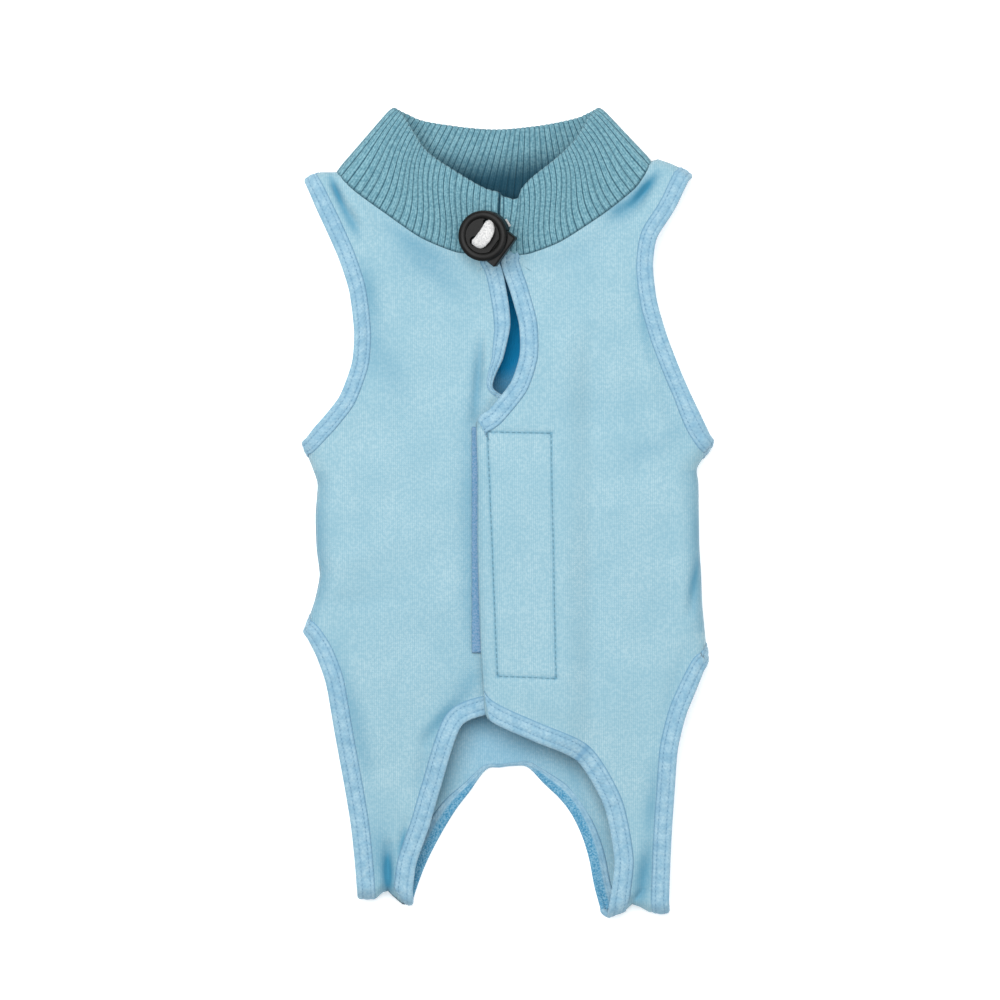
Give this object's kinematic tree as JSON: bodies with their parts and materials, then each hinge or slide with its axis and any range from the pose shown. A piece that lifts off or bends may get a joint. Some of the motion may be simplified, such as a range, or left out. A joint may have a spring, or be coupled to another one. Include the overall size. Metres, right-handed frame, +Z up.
{
  "type": "cat recovery suit",
  "caption": "Sleeveless jersey body suit for a cat, lying belly up, with rib collar and cord lock, lapped hook-and-loop front and bound arm, leg and crotch holes.",
  "frame": {"origin": "centre of the suit's box, on the surface that it lies on", "axes": "+Y runs along the suit to the collar, +X across its width to the lapping front, +Z up off the surface through the belly side"},
  "size_m": [0.1722, 0.3366, 0.0299],
  "materials": {
    "jersey": "pale blue cotton jersey",
    "binding": "pale blue folded jersey binding with two rows of stitches",
    "rib_knit": "teal one by one rib knit",
    "tape": "lilac blue hook and loop tape",
    "black_plastic": "black moulded plastic",
    "white_cord": "white braided elastic cord"
  },
  "bodies": {
    "suit": {"back_panel": "jersey", "front_left_panel": "jersey", "front_right_panel": "jersey", "left_armhole_binding": "binding", "right_armhole_binding": "binding", "left_leg_binding": "binding", "right_leg_binding": "binding", "keyhole_left_binding": "binding", "keyhole_right_binding": "binding", "crotch_binding": "binding", "loop_tape": "tape", "hook_tape": "tape", "collar": "rib_knit", "cord_lock_housing": "black_plastic", "drawcord": "white_cord"},
    "plunger": {"cord_lock_plunger": "black_plastic"}
  },
  "joints": [
    {"name": "plunger_push", "type": "slide", "parent": "suit", "child": "plunger", "axis": [-0.7677, 0.6018, -0.2201], "range_m": [0, 0.0019], "stiffness_N_per_m": 300}
  ]
}
